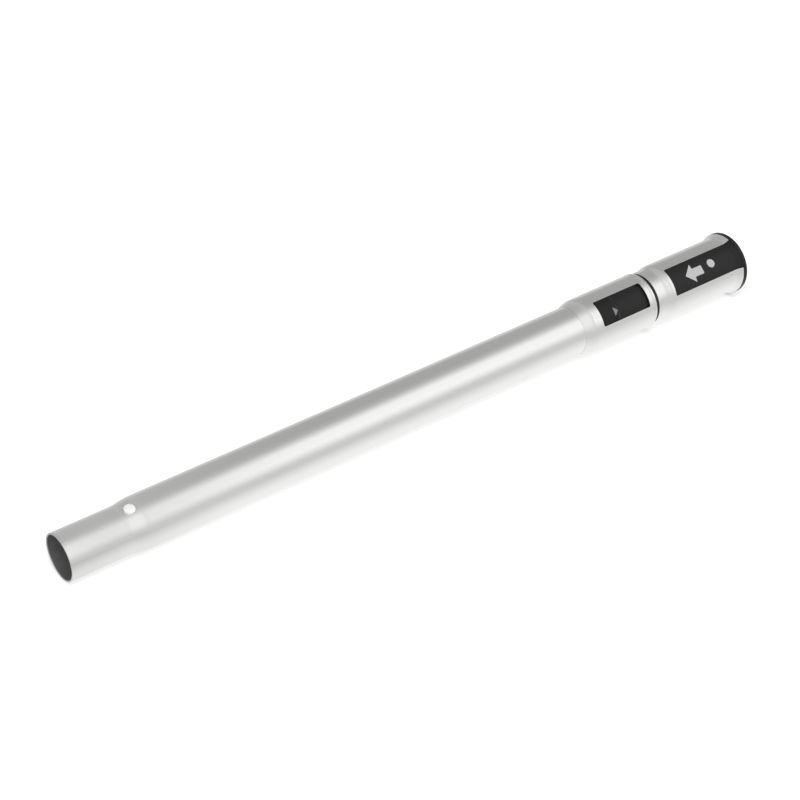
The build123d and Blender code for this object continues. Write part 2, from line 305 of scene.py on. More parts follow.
def finish_mesh(name, bm, sharp=30.0, print_only=False):
    """A smooth object from a bmesh, with doubles merged, faces outwards and sharp edges kept."""
    bmesh.ops.remove_doubles(bm, verts=bm.verts, dist=2 * CLOSE)
    bmesh.ops.dissolve_degenerate(bm, edges=bm.edges, dist=10 * SAME)
    bmesh.ops.recalc_face_normals(bm, faces=bm.faces)
    if print_only:
        inward = [f for f in bm.faces if f.normal.yz.dot(f.calc_center_median().yz) < 0]
        bmesh.ops.reverse_faces(bm, faces=inward)
    mesh = bpy.data.meshes.new(name)
    bm.to_mesh(mesh)
    bm.free()
    mesh.shade_smooth()
    mesh.set_sharp_from_angle(angle=math.radians(sharp))
    piece = bpy.data.objects.new(name, mesh)
    bpy.context.scene.collection.objects.link(piece)
    return piece


class Window:
    """An opening in a round sleeve: stations, half-angle and rounded corners, about the key side."""

    def __init__(self, start, end, half, radius, open_end=False):
        self.start = round(start, STATION_DIGITS)
        self.end = round(end, STATION_DIGITS)
        self.half = half
        self.corner = WINDOW_CORNER
        self.radius = radius
        self.open_end = open_end
        self.edge = half - self.corner / radius

    def half_at(self, x):
        """The half-angle of the opening at a station."""
        near = x - self.start
        if not self.open_end:
            near = min(near, self.end - x)
        near = max(0.0, min(near, self.corner))
        slack = self.corner - math.sqrt(max(0.0, self.corner**2 - (self.corner - near) ** 2))
        return self.half - slack / self.radius

    def stations(self):
        """The stations where the sleeve needs a row of points."""
        straight_runs = 4
        quarter = [math.pi / 2 * i / CORNER_STEPS for i in range(CORNER_STEPS + 1)]
        steps = [self.corner * (1 - math.cos(angle)) for angle in quarter]
        rows = [self.start + step for step in steps]
        rows += spread(self.start + self.corner, self.end - self.corner, straight_runs)[1:-1]
        if self.open_end:
            rows += [self.end - self.corner, self.end]
        else:
            rows += [self.end - step for step in reversed(steps)]
        return rows


def lathe(bm, outline, roll, window=None):
    """Adds a closed outline turned about the tube's axis, with a window left in it if one is given."""
    if window is None:
        angles = spread(0, 2 * math.pi, SEGMENTS)[:-1]
        rows = [[around(x, r, roll + a) for a in angles] for x, r in outline + outline[:1]]
        grid(bm, rows, True)
        return
    outline = [(round(x, STATION_DIGITS), r) for x, r in outline]
    near = [x for x, _ in outline if window.start < x < window.end]
    stations = sorted({round(x, STATION_DIGITS) for x in window.stations() + near})
    outline = with_stations(outline, stations)
    band = spread(-window.edge, window.edge, WINDOW_SEGMENTS)
    for ends in sides(outline):
        middle = (ends[0][0] + ends[1][0]) / 2
        inside = window.start - CLOSE < middle < window.end + CLOSE
        rows = []
        for x, r in ends:
            half = window.half_at(x) if inside else window.edge
            rows.append([around(x, r, roll + a) for a in spread(half, 2 * math.pi - half, SEGMENTS)])
        grid(bm, rows, False)
        if not inside:
            strip(bm, ends, roll, band)
    for side in (-1, 1):
        rows = []
        for x in stations:
            angle = roll + side * window.half_at(x)
            rows.append([around(x, wall_at(outline, x, pick), angle) for pick in (min, max)])
        grid(bm, rows, False)
    cut_ends = [window.start] if window.open_end else [window.start, window.end]
    for x in cut_ends:
        strip(bm, [(x, wall_at(outline, x, pick)) for pick in (min, max)], roll, band)


def pierced(bm, outline, roll, station, radius):
    """Adds a closed outline turned about the tube's axis, with a round hole through its wall."""
    reach = 1.6 * radius
    runs_along, runs_across, rings = 12, 16, 6
    start, end = station - reach, station + reach
    half = reach / wall_at(outline, station, max)
    near = [x for x, _ in outline if start < x < end]
    outline = with_stations(outline, sorted(spread(start, end, runs_along) + near))
    band = spread(-half, half, runs_across)
    rest = spread(half, 2 * math.pi - half, SEGMENTS)
    for ends in sides(outline):
        strip(bm, ends, roll, rest)
        if not start < (ends[0][0] + ends[1][0]) / 2 < end:
            strip(bm, ends, roll, band)
    edges = []
    for pick in (max, min):
        on_wall = set()
        for x, r in outline:
            if start - SAME <= x <= end + SAME and abs(r - wall_at(outline, x, pick)) < 10 * SAME:
                on_wall.add(x)
        along = sorted(on_wall)
        border = [(x, -half) for x in along] + [(end, a) for a in band[1:-1]]
        border += [(x, half) for x in reversed(along)] + [(start, a) for a in reversed(band[1:-1])]
        rows = []
        for share in spread(0.0, 1.0, rings):
            row = []
            for x, a in border:
                way = Vector((x - station, a * wall_at(outline, station, pick))).normalized() * radius
                rim = station + way.x
                rim_angle = math.asin(way.y / wall_at(outline, rim, pick))
                place = rim + (x - rim) * share
                angle = roll + rim_angle + (a - rim_angle) * share
                row.append(around(place, wall_at(outline, place, pick), angle))
            rows.append(row)
        grid(bm, rows, True)
        edges.append(rows[0])
    grid(bm, edges, True)


def sector_solid(bm, outline, roll, half):
    """Adds a closed outline swept from -half to half about the tube's axis, with flat ends."""
    steps = 48
    angles = spread(-half, half, steps)
    rows = [[around(x, r, roll + a) for x, r in outline] for a in angles]
    grid(bm, rows, True)
    for angle in (angles[0], angles[-1]):
        bm.faces.new([bm.verts.new(around(x, r, roll + angle)) for x, r in outline])


def dress(piece, node, body, material):
    """Hands a finished piece to the frame: what it stands for, what it rides on and its finish."""
    piece.data.materials.clear()
    piece.data.materials.append(material)
    if body:
        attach(piece, body)
    if node:
        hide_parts(node)


def dull_and_shaded_inside(piece, material):
    """Gives the bore and the cut edge at the near end a second finish: duller, and a darker grey as
    painted shade in the mouth.
    """
    faces_inwards, faces_near_end = -0.3, -0.5
    piece.data.materials.append(material)
    for face in piece.data.polygons:
        outwards = Vector((0.0, face.center.y, face.center.z)).normalized()
        if face.normal.dot(outwards) < faces_inwards or face.normal.x < faces_near_end:
            face.material_index = 1


def soft_copy(node, bevel=0.0, sharp=30.0):
    """A merged, smooth copy of a CAD node, with its hard edges rounded by bevel."""
    flat = math.radians(0.5)
    bm = bmesh.new()
    bm.from_mesh(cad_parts[node].data)
    bmesh.ops.remove_doubles(bm, verts=bm.verts, dist=20 * CLOSE)
    bmesh.ops.dissolve_limit(bm, angle_limit=flat, verts=bm.verts, edges=bm.edges)
    if bevel:
        limit = math.radians(sharp)
        hard = [e for e in bm.edges if len(e.link_faces) == 2 and e.calc_face_angle(0.0) > limit]
        bmesh.ops.bevel(
            bm, geom=hard, offset=bevel, offset_type="OFFSET", segments=3, profile=0.5,
            affect="EDGES", clamp_overlap=True,
        )
    return finish_mesh(node + "_shown", bm, sharp)


def grain_group():
    """A shader group: fine streaks or specks that vary a finish over the surface."""
    name = "finish_grain"
    if name in bpy.data.node_groups:
        return bpy.data.node_groups[name]
    group = bpy.data.node_groups.new(name, "ShaderNodeTree")
    face = group.interface
    face.new_socket("Vector", in_out="INPUT", socket_type="NodeSocketVector")
    for label, value in (("Scale", 400.0), ("Low", 0.1), ("High", 0.2)):
        socket = face.new_socket(label, in_out="INPUT", socket_type="NodeSocketFloat")
        socket.default_value = value
    face.new_socket("Value", in_out="OUTPUT", socket_type="NodeSocketFloat")
    face.new_socket("Height", in_out="OUTPUT", socket_type="NodeSocketFloat")
    entry = group.nodes.new("NodeGroupInput")
    leave = group.nodes.new("NodeGroupOutput")
    noise = group.nodes.new("ShaderNodeTexNoise")
    noise.inputs["Detail"].default_value = 3.0
    spread_out = group.nodes.new("ShaderNodeMapRange")
    link = group.links.new
    link(entry.outputs["Vector"], noise.inputs["Vector"])
    link(entry.outputs["Scale"], noise.inputs["Scale"])
    link(noise.outputs["Fac"], spread_out.inputs["Value"])
    link(entry.outputs["Low"], spread_out.inputs["To Min"])
    link(entry.outputs["High"], spread_out.inputs["To Max"])
    link(spread_out.outputs["Result"], leave.inputs["Value"])
    link(noise.outputs["Fac"], leave.inputs["Height"])
    return group


def finish(name, colour, low, high, scale, metallic=0.0, along=1.0, bump=0.0, shine=0.5):
    """A procedural finish whose roughness runs from low to high with the shared grain.

    A value of along below 1 draws the grain out along the tube.
    """
    name = "shown_" + name
    if name in bpy.data.materials:
        return bpy.data.materials[name]
    material = bpy.data.materials.new(name)
    material.use_nodes = True
    nodes = material.node_tree.nodes
    link = material.node_tree.links.new
    shader = nodes["Principled BSDF"]
    shader.inputs["Base Color"].default_value = (*colour, 1.0)
    shader.inputs["Metallic"].default_value = metallic
    shader.inputs["Specular IOR Level"].default_value = shine
    place = nodes.new("ShaderNodeTexCoord")
    mapping = nodes.new("ShaderNodeMapping")
    mapping.inputs["Scale"].default_value = (along, 1.0, 1.0)
    grain = nodes.new("ShaderNodeGroup")
    grain.node_tree = grain_group()
    grain.inputs["Scale"].default_value = scale
    grain.inputs["Low"].default_value = low
    grain.inputs["High"].default_value = high
    link(place.outputs["Object"], mapping.inputs["Vector"])
    link(mapping.outputs["Vector"], grain.inputs["Vector"])
    link(grain.outputs["Value"], shader.inputs["Roughness"])
    if bump:
        raised = nodes.new("ShaderNodeBump")
        raised.inputs["Strength"].default_value = bump
        raised.inputs["Distance"].default_value = 0.1 * MM
        link(grain.outputs["Height"], raised.inputs["Height"])
        link(raised.outputs["Normal"], shader.inputs["Normal"])
    return material


def polished_steel():
    """Drawn and polished steel, with a faint grain along the tube."""
    return finish("polished_steel", colours().steel, 0.13, 0.2, scale=900.0, metallic=1.0, along=0.04)


def bare_and_shaded_steel():
    """The tubes' bores and the near end's cut edge: drawn and not polished, so duller, with a darker grey
    that is painted shade in the mouth.
    """
    # The darker grey is painted shade inside the mouth and on its edge.
    grey = (0.68, 0.68, 0.69)
    return finish("bare_and_shaded_steel", grey, 0.42, 0.55, scale=900.0, metallic=1.0, along=0.04)


def bright_plating():
    """Chrome plating on the sleeves."""
    return finish("bright_plating", colours().plating, 0.12, 0.17, scale=500.0, metallic=1.0, along=0.2)


def black_plastic():
    """Black moulded plastic, satin."""
    return finish("black_plastic", colours().black, 0.3, 0.42, scale=2500.0, bump=0.08, shine=0.3)


def glossy_black():
    """The guide's ring between the sleeves, smoother than the rest of it."""
    return finish("glossy_black", colours().black, 0.1, 0.16, scale=2500.0)


def key_plastic():
    """The key's smoother black plastic."""
    return finish("key_plastic", colours().black, 0.26, 0.36, scale=1800.0, bump=0.05, shine=0.25)


def grey_plastic():
    """Plain grey plastic of the hidden guides."""
    return finish("grey_plastic", (0.35, 0.35, 0.36), 0.4, 0.55, scale=1500.0, bump=0.06)


def button_plastic():
    """The pale snap button."""
    return finish("button_plastic", colours().button, 0.25, 0.32, scale=900.0)


def rubber():
    """Dark rubber of the seals and the lining."""
    return finish("rubber", (0.03, 0.03, 0.03), 0.6, 0.75, scale=2000.0, bump=0.12)


def spring_steel():
    """Bare drawn spring steel."""
    return finish("spring_steel", (0.6, 0.6, 0.62), 0.25, 0.4, scale=1200.0, metallic=1.0)


def print_ink():
    """Flat pale ink of the printed marks."""
    return finish("print_ink", colours().mark, 0.45, 0.55, scale=1500.0)


def painted_ridge_highlight():
    """The greyer paint of the painted highlight on the key's ridge."""
    return finish("painted_ridge_highlight", (0.2, 0.2, 0.2), 0.45, 0.55, scale=1500.0)


class TUBE_OT_outer_tube(bpy.types.Operator):
    """Makes the polished outer tube with its necked plug end and rolled rim"""

    bl_idname = "tube.outer_tube"
    bl_label = "Outer tube"

    def execute(self, context):
        s = sizes()
        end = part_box("outer_tube")[1].x
        shoulder = s.neck_length + s.shoulder_length
        bore = s.tube_radius - s.tube_wall
        neck_bore = s.neck_radius - s.tube_wall
        rim = 1.2 * MM
        soft, crisp, rolled = 45 * MM, 0.1 * MM, 0.4 * MM
        corners = [
            (0.0, s.neck_radius, 0.3 * MM),
            (s.neck_length, s.neck_radius, soft),
            (shoulder, s.tube_radius, soft),
            (end, s.tube_radius, crisp),
            (end, bore, crisp),
            (shoulder, bore, soft),
            (s.neck_length, neck_bore, soft),
            (rim, neck_bore, crisp),
            (rim, s.rim_bore, rolled),
            (0.0, s.rim_bore, rolled),
        ]
        bm = bmesh.new()
        pierced(bm, rounded(corners), s.button_roll, button_station(), BUTTON_STEM + BUTTON_PLAY)
        piece = finish_mesh("outer_tube_shown", bm)
        dress(piece, "outer_tube", "outer", polished_steel())
        dull_and_shaded_inside(piece, bare_and_shaded_steel())
        return {"FINISHED"}


class TUBE_OT_inner_tube(bpy.types.Operator):
    """Makes the inner tube with its guide groove, seen when the tube is pulled out"""

    bl_idname = "tube.inner_tube"
    bl_label = "Inner tube"

    def execute(self, context):
        s = sizes()
        low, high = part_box("inner_tube")
        plain_end, run_in, steps = 16 * MM, 0.7 * MM, 6
        groove = low.x + plain_end
        centre = s.inner_radius - s.groove_depth + s.groove_radius

        def reach(angle, depth):
            """The tube's radius at an angle from the groove, where the groove has a share of its depth."""
            across = centre * math.sin(angle)
            if math.cos(angle) < 0 or abs(across) > s.groove_radius:
                return s.inner_radius
            dent = centre * math.cos(angle) - math.sqrt(s.groove_radius**2 - across**2)
            return s.inner_radius - depth * max(0.0, s.inner_radius - dent)

        stations = [(low.x, 0.0), (groove, 0.0)]
        for step in range(1, steps + 1):
            depth = (1 - math.cos(math.pi * step / steps)) / 2
            stations.append((groove + run_in * step / steps, depth))
        stations.append((high.x, 1.0))
        angles = spread(0, 2 * math.pi, 2 * SEGMENTS)[:-1]
        groove_side = s.key_roll + math.pi
        bm = bmesh.new()
        rows = []
        for wall, order in ((0.0, stations), (s.inner_wall, stations[::-1])):
            for x, depth in order:
                rows.append([around(x, reach(a, depth) - wall, groove_side + a) for a in angles])
        grid(bm, rows + rows[:1], True)
        piece = finish_mesh("inner_tube_shown", bm)
        dress(piece, "inner_tube", "inner", polished_steel())
        dull_and_shaded_inside(piece, bare_and_shaded_steel())
        return {"FINISHED"}


class TUBE_OT_sleeves(bpy.types.Operator):
    """Makes the plated sleeves of the adjuster and the socket, with their openings"""

    bl_idname = "tube.sleeves"
    bl_label = "Plated sleeves"

    def execute(self, context):
        self.adjuster()
        self.socket()
        return {"FINISHED"}

    def adjuster(self):
        """Makes the sleeve with the key's window, a thin foot on the tube and a low bead."""
        s = sizes()
        low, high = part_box("adjuster_sleeve")
        start, end = low.x, high.x
        r = s.sleeve_radius
        bore = r - s.sleeve_wall
        foot = s.tube_radius + 0.03 * MM
        foot_edge = 0.12 * MM
        cone = start + CONE_LENGTH
        bead_width, bead_rise = 3 * MM, 0.3 * MM
        window_end = end - 6 * MM
        corners = [
            (start, foot + foot_edge, 0.08 * MM),
            (cone, r, 16 * MM),
            (end - bead_width, r, 2 * MM),
            (end - bead_width / 2, r + bead_rise, 2 * MM),
            (end, r, 0.3 * MM),
            (end, bore, 0.1 * MM),
            (cone, bore, 4 * MM),
            (start, foot, 0.01 * MM),
        ]
        window = Window(start + WINDOW_SET_BACK, window_end, KEY_WINDOW_HALF, r)
        self.plated("adjuster_sleeve", "outer", corners, window)

    def socket(self):
        """Makes the sleeve with the panel's opening and a flare over the collar's slope."""
        s = sizes()
        low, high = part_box("socket_sleeve")
        start, end = low.x, high.x
        r, neck, wall = s.socket_radius, s.socket_neck, s.sleeve_wall
        cone = start + CONE_LENGTH
        top = cone + SOCKET_SLOPE
        lip = end + 1.6 * MM
        lip_radius = s.collar_radius - 0.1 * MM
        lip_edge = 0.35 * MM
        corners = [
            (start, neck, 0.4 * MM),
            (cone, neck, 20 * MM),
            (top, r, 16 * MM),
            (end - 3 * MM, r, 5 * MM),
            (lip, lip_radius, 0.1 * MM),
            (lip, lip_radius - lip_edge, 0.05 * MM),
            (end - 2 * MM, r - wall, 3 * MM),
            (top, r - wall, 4 * MM),
            (cone, neck - wall, 4 * MM),
            (start, neck - wall, 0.1 * MM),
        ]
        window = Window(start + WINDOW_SET_BACK, lip, SOCKET_WINDOW_HALF, r, open_end=True)
        self.plated("socket_sleeve", "inner", corners, window)

    def plated(self, node, body, corners, window):
        """Turns one sleeve and dresses it."""
        bm = bmesh.new()
        lathe(bm, rounded(corners), sizes().key_roll, window)
        piece = finish_mesh(node + "_shown", bm)
        dress(piece, node, body, bright_plating())


class TUBE_OT_socket(bpy.types.Operator):
    """Makes the black socket with its panel and end collar"""

    bl_idname = "tube.socket"
    bl_label = "Socket"

    def execute(self, context):
        low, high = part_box("socket_body")
        start, end = low.x, high.x
        collar = end - COLLAR_WIDTH + CLEARANCE
        bm = bmesh.new()
        self.body(bm, start, collar, end)
        self.panel(bm, start, collar)
        piece = finish_mesh("socket_body_shown", bm, sharp=35.0)
        dress(piece, "socket_body", "inner", black_plastic())
        return {"FINISHED"}

    def body(self, bm, start, collar, end):
        """Adds the turned body: inside the sleeve, round the inner tube's end, and out to the collar."""
        s = sizes()
        under_sleeve = s.sleeve_wall + CLEARANCE
        outside = s.socket_radius - under_sleeve
        neck = s.socket_neck - under_sleeve
        big, bore = s.collar_radius, s.socket_bore
        hold = s.inner_radius + CLEARANCE
        stop = s.inner_radius - s.inner_wall
        cone = start + CONE_LENGTH
        slope_start, slope_end = collar - 1.5 * MM, collar + 1.7 * MM
        slope_top = big - 0.6 * MM
        lead = 0.9 * MM
        bore_end = end - 50.5 * MM
        tube_end = start + 29 * MM + CLEARANCE
        corners = [
            (start, neck, 0.0),
            (cone, neck, 0.0),
            (cone + SOCKET_SLOPE, outside, 0.0),
            (slope_start, outside, 0.0),
            (slope_end, slope_top, 0.0),
            (slope_end, big, 0.3 * MM),
            (end, big, 1.2 * MM),
            (end, bore + lead, 0.5 * MM),
            (end - lead, bore, 0.3 * MM),
            (bore_end, bore, 0.0),
            (bore_end, stop, 0.0),
            (tube_end, stop, 0.0),
            (tube_end, hold, 0.0),
            (start, hold, 0.0),
        ]
        lathe(bm, rounded(corners), 0.0)

    def panel(self, bm, start, collar):
        """Adds the panel that fills the sleeve's opening and rises to the collar."""
        s = sizes()
        r = s.socket_radius
        panel_start = start + WINDOW_SET_BACK + CLEARANCE
        base = r - 2 * s.sleeve_wall
        rise = s.collar_radius - 0.4 * MM - r
        rise_start, rise_length, steps = collar - 4 * MM, 5.6 * MM, 8
        outline = [(panel_start, base), (panel_start, r)]
        for share in spread(0.0, 1.0, steps):
            outline.append((rise_start + rise_length * share, r + rise * share * share))
        outline.append((rise_start + rise_length, base))
        sector_solid(bm, outline, s.key_roll, SOCKET_WINDOW_HALF - math.radians(0.2))


class TUBE_OT_key(bpy.types.Operator):
    """Makes the black release key with its thumb ridge"""

    bl_idname = "tube.key"
    bl_label = "Release key"

    def execute(self, context):
        piece = soft_copy("release_key", bevel=0.25 * MM, sharp=25.0)
        dress(piece, "release_key", "key", key_plastic())
        return {"FINISHED"}


class TUBE_OT_snap_button(bpy.types.Operator):
    """Makes the domed snap button and its leaf spring"""

    bl_idname = "tube.snap_button"
    bl_label = "Snap button"

    def execute(self, context):
        brim = 4.7 * MM
        self.button(brim)
        leaf = soft_copy("snap_spring", bevel=0.08 * MM)
        dress(leaf, "snap_spring", None, spring_steel())
        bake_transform(leaf)
        return {"FINISHED"}

    def button(self, brim):
        """Makes the button: a brim inside the tube, a stem through its hole and a dome."""
        under, foot, top = 13.3 * MM, 14.1 * MM, 18.5 * MM
        dome, fullness, steps = 1.3 * MM, 0.8, 12
        segments = 64
        stem = BUTTON_STEM
        outline = [(0.0, under), (brim, under), (brim, foot), (stem, foot), (stem, top - dome)]
        for step in range(1, steps):
            angle = math.pi / 2 * step / steps
            outline.append((stem * math.cos(angle) ** fullness, top - dome + dome * math.sin(angle)))
        outline.append((0.0, top))
        axis_x = button_station()
        lean = Matrix.Rotation(sizes().button_roll, 4, "X")
        angles = spread(0, 2 * math.pi, segments)[:-1]
        bm = bmesh.new()
        rows = []
        for radius, height in outline:
            ring = [(axis_x + radius * math.cos(a), radius * math.sin(a), height) for a in angles]
            rows.append([lean @ Vector(p) for p in ring])
        grid(bm, rows, True)
        piece = finish_mesh("snap_button_shown", bm, sharp=40.0)
        dress(piece, "snap_button", "button", button_plastic())


def coil_tree(values, material):
    """A Geometry Nodes tree: a coil of round wire along its own Z axis."""
    tree = bpy.data.node_groups.new("wire_coil", "GeometryNodeTree")
    face = tree.interface
    face.new_socket("Geometry", in_out="INPUT", socket_type="NodeSocketGeometry")
    for label, value in values.items():
        socket = face.new_socket(label, in_out="INPUT", socket_type="NodeSocketFloat")
        socket.default_value = value
    face.new_socket("Geometry", in_out="OUTPUT", socket_type="NodeSocketGeometry")
    entry = tree.nodes.new("NodeGroupInput")
    leave = tree.nodes.new("NodeGroupOutput")
    spiral = tree.nodes.new("GeometryNodeCurveSpiral")
    spiral.inputs["Resolution"].default_value = 24
    wire = tree.nodes.new("GeometryNodeCurvePrimitiveCircle")
    wire.inputs["Resolution"].default_value = 10
    sweep = tree.nodes.new("GeometryNodeCurveToMesh")
    sweep.inputs["Fill Caps"].default_value = True
    paint = tree.nodes.new("GeometryNodeSetMaterial")
    paint.inputs["Material"].default_value = material
    real = tree.nodes.new("GeometryNodeRealizeInstances")
    link = tree.links.new
    link(entry.outputs["Turns"], spiral.inputs["Rotations"])
    link(entry.outputs["Radius"], spiral.inputs["Start Radius"])
    link(entry.outputs["Radius"], spiral.inputs["End Radius"])
    link(entry.outputs["Length"], spiral.inputs["Height"])
    link(entry.outputs["Wire"], wire.inputs["Radius"])
    link(spiral.outputs["Curve"], sweep.inputs["Curve"])
    link(wire.outputs["Curve"], sweep.inputs["Profile Curve"])
    link(sweep.outputs["Mesh"], real.inputs["Geometry"])
    link(real.outputs["Geometry"], paint.inputs["Geometry"])
    link(paint.outputs["Geometry"], leave.inputs["Geometry"])
    return tree


class TUBE_OT_lock(bpy.types.Operator):
    """Makes what lies under the key: guide, wiper, brake shoe, lining and coil spring"""

    bl_idname = "tube.lock"
    bl_label = "Guide and lock"

    def execute(self, context):
        self.guide()
        dress(soft_copy("wiper_ring"), "wiper_ring", "outer", rubber())
        dress(soft_copy("brake_shoe"), "brake_shoe", "shoe", grey_plastic())
        dress(soft_copy("brake_lining"), "brake_lining", "shoe", rubber())
        self.coil()
        return {"FINISHED"}

    def guide(self):
        """Makes the guide body, glossy where its ring shows between the sleeves."""
        guide = soft_copy("guide_body", bevel=0.15 * MM)
        dress(guide, "guide_body", "outer", black_plastic())
        guide.data.materials.append(glossy_black())
        ring_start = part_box("adjuster_sleeve")[1].x
        for face in guide.data.polygons:
            if face.center.x > ring_start:
                face.material_index = 1

    def coil(self):
        """Makes the coil by Geometry Nodes, then a plain mesh in its place under the key."""
        low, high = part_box("key_spring")
        length = high.x - low.x
        wire = 0.2 * MM
        values = {"Turns": 4.0, "Radius": 0.75 * MM, "Wire": wire, "Length": length - 2 * wire}
        steel = spring_steel()
        tree = coil_tree(values, steel)
        holder = bpy.data.objects.new("coil_maker", bpy.data.meshes.new("coil_maker"))
        bpy.context.scene.collection.objects.link(holder)
        modifier = holder.modifiers.new("coil", "NODES")
        modifier.node_group = tree
        for item in tree.interface.items_tree:
            if item.in_out == "INPUT" and item.name in values:
                modifier[item.identifier] = values[item.name]
        graph = bpy.context.evaluated_depsgraph_get()
        mesh = bpy.data.meshes.new_from_object(holder.evaluated_get(graph), depsgraph=graph)
        bpy.data.objects.remove(holder)
        start = Vector((low.x + wire, (low.y + high.y) / 2, (low.z + high.z) / 2))
        mesh.transform(Matrix.Translation(start) @ Matrix.Rotation(math.pi / 2, 4, "Y"))
        mesh.shade_smooth()
        spring = bpy.data.objects.new("key_spring_shown", mesh)
        bpy.context.scene.collection.objects.link(spring)
        dress(spring, "key_spring", "outer", steel)
        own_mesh(spring)


class TUBE_OT_slide_end(bpy.types.Operator):
    """Makes the guide ring and the lip seal on the inner tube's near end"""

    bl_idname = "tube.slide_end"
    bl_label = "Slide guide and seal"

    def execute(self, context):
        dress(soft_copy("rear_guide"), "rear_guide", "inner", grey_plastic())
        dress(soft_copy("lip_seal"), "lip_seal", "inner", rubber())
        return {"FINISHED"}


class TUBE_OT_marks(bpy.types.Operator):
    """Prints a round dot and a plain arrow on the socket's panel, and paints a small grey triangle on the
    key as a painted highlight
    """

    bl_idname = "tube.marks"
    bl_label = "Printed marks"

    def execute(self, context):
        self.panel_marks()
        self.key_ridge_highlight()
        return {"FINISHED"}

    def panel_marks(self):
        """Prints the dot and the arrow, which points along the tube to its near end."""
        s = sizes()
        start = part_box("socket_sleeve")[0].x
        ink_height = s.socket_radius + 0.03 * MM

        def laid(x, across):
            """A point of the print, by its station and its way round the panel."""
            return around(x, ink_height, s.key_roll + across / s.socket_radius)

        bm = bmesh.new()
        dot = Vector((start + 54 * MM, math.radians(-3) * s.socket_radius))
        dot_radius, rings, segments = 3.2 * MM, 6, 48
        angles = spread(0, 2 * math.pi, segments)[:-1]
        rows = []
        for radius in spread(0.0, dot_radius, rings)[1:]:
            rows.append([laid(dot.x + radius * math.cos(a), dot.y + radius * math.sin(a)) for a in angles])
        grid(bm, rows, True)
        bm.faces.new([bm.verts.new(p) for p in rows[0]])
        arrow = Vector((start + 37 * MM, math.radians(1) * s.socket_radius))
        tip, barbs, tail = -8.5 * MM, -0.5 * MM, 8.0 * MM
        head, shaft = 7.0 * MM, 3.2 * MM
        outlines = [
            [(tip, 0.0), (barbs, head), (barbs, -head)],
            [(barbs, shaft), (tail, shaft), (tail, -shaft), (barbs, -shaft)],
        ]
        for outline in outlines:
            self.fill(bm, outline, lambda x, y: laid(arrow.x + x, arrow.y + y))
        piece = finish_mesh("printed_marks", bm, print_only=True)
        dress(piece, None, "inner", print_ink())

    def key_ridge_highlight(self):
        """Paints a small grey triangle on the thumb ridge, pointing the way the key is pushed: a painted
        highlight on the ridge's crest.
        """
        s = sizes()
        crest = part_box("adjuster_sleeve")[0].x + 28 * MM
        across = math.radians(7) * s.sleeve_radius
        ridge_round = 5.36 * MM
        top = s.sleeve_radius + 1.24 * MM
        half_length, half_width = 1.7 * MM, 3.0 * MM

        def laid(x, y):
            """A point of the print on the ridge's round top."""
            lift = top - ridge_round + math.sqrt(ridge_round * ridge_round - x * x)
            return around(crest + x, lift, s.key_roll + (across + y) / s.sleeve_radius)

        # The grey triangle is a painted highlight on the ridge's crest.
        outline = [(-half_length, -half_width), (half_length, 0.0), (-half_length, half_width)]
        bm = bmesh.new()
        self.fill(bm, outline, laid)
        piece = finish_mesh("key_ridge_highlight", bm, print_only=True)
        dress(piece, None, "key", painted_ridge_highlight())

    def fill(self, bm, outline, place):
        """Fills a convex outline with thin bands, so that it follows the round surface."""
        bands, runs = 16, 6
        low = min(y for _, y in outline)
        high = max(y for _, y in outline)
        rows = []
        for y in spread(low, high, bands):
            hits = []
            for (x0, y0), (x1, y1) in sides(outline):
                if abs(y1 - y0) > SAME and min(y0, y1) - SAME <= y <= max(y0, y1) + SAME:
                    hits.append(x0 + (x1 - x0) * (y - y0) / (y1 - y0))
            rows.append([place(x, y) for x in spread(min(hits), max(hits), runs)])
        grid(bm, rows, False)


def grey_ramp(nodes, levels):
    """A colour ramp through pairs of position and grey level."""
    ramp = nodes.new("ShaderNodeValToRGB")
    stops = ramp.color_ramp.elements
    while len(stops) < len(levels):
        stops.new(0.5)
    for stop, (position, level) in zip(stops, levels):
        stop.position = position
        stop.color = (level, level, level, 1)
    return ramp


